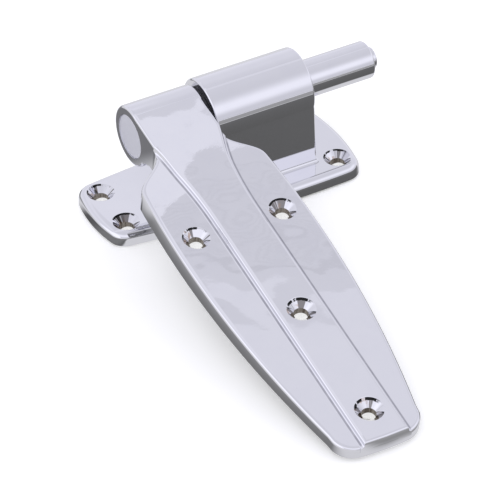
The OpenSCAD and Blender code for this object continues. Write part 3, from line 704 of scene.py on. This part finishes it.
toe_start = LENGTH - TOE_CORNER
toe_turn = math.atan((toe_start - WIDE_AT) / EDGE_R)
neck_sides = [(s, strap_half(s)) for s in np.linspace(FLARE_START, FLARE_END, 40)]
wing_sides = [(s, strap_half(s)) for s in np.linspace(FLARE_END, toe_start - 2, 60)[1:]]
toe_cap = end_cap(LENGTH, strap_side(toe_start), toe_turn, TOE_CORNER, TOE_BULGE)
strap_outline = mirrored([(0.0, NECK_HALF)] + neck_sides + wing_sides + toe_cap)
wing_rings = []
for a in quarter:
    pts = inset(strap_outline, BACK_ROUND * (1 - math.sin(a)))
    wing_rings.append(strap_ring(pts, np.full(len(pts), BACK + BACK_ROUND * (1 - math.cos(a)))))
for a in quarter:
    pts = inset(strap_outline, WING_ROUND * (1 - math.cos(a)))
    wing_rings.append(strap_ring(pts, wing_top(pts[:, 0]) - WING_ROUND * (1 - math.sin(a))))
strap = solid("hinge_strap", wing_rings)

pts = band_outline(BAND_SPREAD, 0)
band_rings = [strap_ring(pts, wing_top(pts[:, 0]) - 3)]
for a in quarter[:-1]:
    pts = band_outline(BAND_SPREAD * (1 - math.sin(a)), 0)
    band_rings.append(strap_ring(pts, wing_top(pts[:, 0]) + BAND_SPREAD * (1 - math.cos(a))))
for a in quarter:
    drawn_in = BAND_ROUND * (1 - math.cos(a))
    pts = band_outline(-drawn_in, drawn_in)
    band_rings.append(strap_ring(pts, wing_top(pts[:, 0]) + BAND_RISE - BAND_ROUND * (1 - math.sin(a))))
band = solid("band", band_rings)

web_reach = math.sqrt((KNUCKLE_R + WEB_FILLET) ** 2 - (WEB_FILLET - BACK) ** 2)
web_low = math.atan2(WEB_FILLET - BACK, web_reach)
web_profile = [(0, 0), (-web_reach, 0)]
web_profile += [(-web_reach + WEB_FILLET * math.cos(a), BACK - WEB_FILLET + WEB_FILLET * math.sin(a))
                for a in np.linspace(math.pi / 2, web_low, 14)]
neck_ends = NECK_X - NECK_HALF, NECK_X + NECK_HALF
web = solid("web", [np.array([(x, y, z) for y, z in web_profile]) for x in neck_ends])
knuckle_profile = rim(neck_ends[0], KNUCKLE_R, KNUCKLE_ROUND_LEFT, KNUCKLE_ROUND_LEFT)
knuckle_profile += rim(neck_ends[1], KNUCKLE_R, -KNUCKLE_ROUND_RIGHT, KNUCKLE_ROUND_RIGHT)[::-1]
knuckle = turned("knuckle", knuckle_profile)
combined(strap, "UNION", band, web, knuckle)

foot, roof = inset(strap_outline, CORE_WALL), inset(strap_outline, CORE_WALL + CORE_SLOPE)
core = solid("core", [strap_ring(foot, np.full(len(foot), BACK - CUT)),
                      strap_ring(roof, wing_top(roof[:, 0]) - CORE_ROOF)])
neck_side = block("neck_side", OUTSIDE, -OUTSIDE, -CORE_START, 10, BELOW, OVER)
rib = block("rib", RIB_HALF, -RIB_HALF, -TOE_HOLE, -RIB_START, BELOW, OVER)
bosses = [placed(turned("boss", [(BELOW, BOSS_R), (OVER, BOSS_R)], "Z", 64), Matrix.Translation((x, -s, 0)))
          for x, s, rise, r in STRAP_HOLES]
combined(core, "DIFFERENCE", neck_side, rib, *bosses)
sinks = [screw_hole(r, wing_top(s) + rise, x, -s) for x, s, rise, r in STRAP_HOLES]
combined(strap, "DIFFERENCE", core, *sinks)
bore = turned("bore", [(-20, DISC_R), (DISC_SEAT, DISC_R), (DISC_SEAT, HEAD_R), (HEAD_SEAT, HEAD_R),
                       (HEAD_SEAT, SPINDLE_R), (UPPER_CAM_SEAT, SPINDLE_R), (UPPER_CAM_SEAT, CAM_R),
                       (21, CAM_R)])
combined(strap, "DIFFERENCE", bore)
placed(strap, strap_place)


def strap_spot(look):
    """Sideways place, place along the strap and depth under a countersink's end, in millimetres."""
    to_pin = look.node("ShaderNodeVectorMath", {"operation": "SUBTRACT"},
                       {0: look.place(), 1: (STRAP_X * MM, 0, PIN_H * MM)})

    def measured(x, y, z):
        return look.node("ShaderNodeVectorMath", {"operation": "DOT_PRODUCT"},
                         {0: to_pin, 1: (1000 * x, 1000 * y, 1000 * z)}, "Value")

    across = measured(1, 0, 0)
    along = measured(0, math.cos(DROOP), math.sin(DROOP))
    up = measured(0, -math.sin(DROOP), math.cos(DROOP))
    on_wing = abs(across).between(14, 16)
    return across, along, BAND_BORE_TOP - WING_BORE_DROP * on_wing + TAPER * along - up


# Painted shade darkens the foot of the raised band, mottled by noise
strap_chrome, tone, sheen, normal = chromed("polished_chrome_strap", 0.0007, 27.0)
side, along, depth = strap_spot(strap_chrome)
down = -along
lean = (1 - down.between(FLARE_START, FLARE_END)) * NECK_X
narrowing = ((BAND_EVEN_AT - down) / (BAND_EVEN_AT - FLARE_START)).math("MAXIMUM", 0.0)
off_band = abs(side - lean) - BAND_HALF - (NECK_HALF - BAND_HALF) * narrowing * narrowing
foot_line = off_band - 0.9 * side.between(-2, 2)
painted_shade_at_foot = (foot_line.between(0.1, 0.7) * (1 - foot_line.between(1.0, 1.6)) * down.between(24, 34)
           * (1 - down.between(223, 225)))
shade_mottle = strap_chrome.noise(strap_chrome.place(), 240.0, 3.0)
# Painted shade in the band's concave foot
tone = strap_chrome.blend(painted_shade_at_foot * (0.45 + 0.5 * shade_mottle), tone, (0.27, 0.27, 0.31, 1))
strap_chrome.metal(tone, sheen, normal)

hole_spots = [(x, -s) for x, s, rise, r in STRAP_HOLES]
finished(strap, "strap", "strap_side",
         [strap_chrome.owner, bare_bore("bare_bore_strap", strap_spot, hole_spots),
          sunk_chrome("countersunk_chrome_strap", strap_spot, hole_spots)])
dress_holes(strap, strap_place.inverted(), hole_spots)

# Disc in the knuckle's end
# A turned steel plug pressed into the knuckle over the spindle's head and left satin.
# The lathe's fine rings show around its middle.
DISC_LEFT, DISC_RIGHT = -38.4, -36.4
DISC_PLAY, DISC_ROUND = 0.04, 0.4
disc = turned("knuckle_disc", [(DISC_LEFT, 0.3), (DISC_LEFT, 10.6)]
              + rim(DISC_LEFT, DISC_R - DISC_PLAY, DISC_ROUND, DISC_ROUND)[1:]
              + [(DISC_RIGHT, DISC_R - DISC_PLAY)], sides=160)
satin = Look("turned_satin")
from_pin = satin.node("ShaderNodeVectorMath", {"operation": "SUBTRACT"},
                      {0: satin.place(), 1: (0, 0, PIN_H * MM)})
x, y, z = satin.parts(from_pin)
radius = (y * y + z * z) ** 0.5
lathe_lines = satin.noise(satin.node("ShaderNodeCombineXYZ", {}, {"X": radius}), 2600.0, 2.0)
satin_tone = satin.blend(lathe_lines, (0.65, 0.65, 0.70, 1), (0.73, 0.73, 0.78, 1))
satin.metal(satin_tone, 0.34 + 0.08 * lathe_lines, satin.bump(lathe_lines, 0.2, 0.0001), 0.35)
finished(placed(disc, on_pin), "end_plug", "strap_side", [satin.owner])
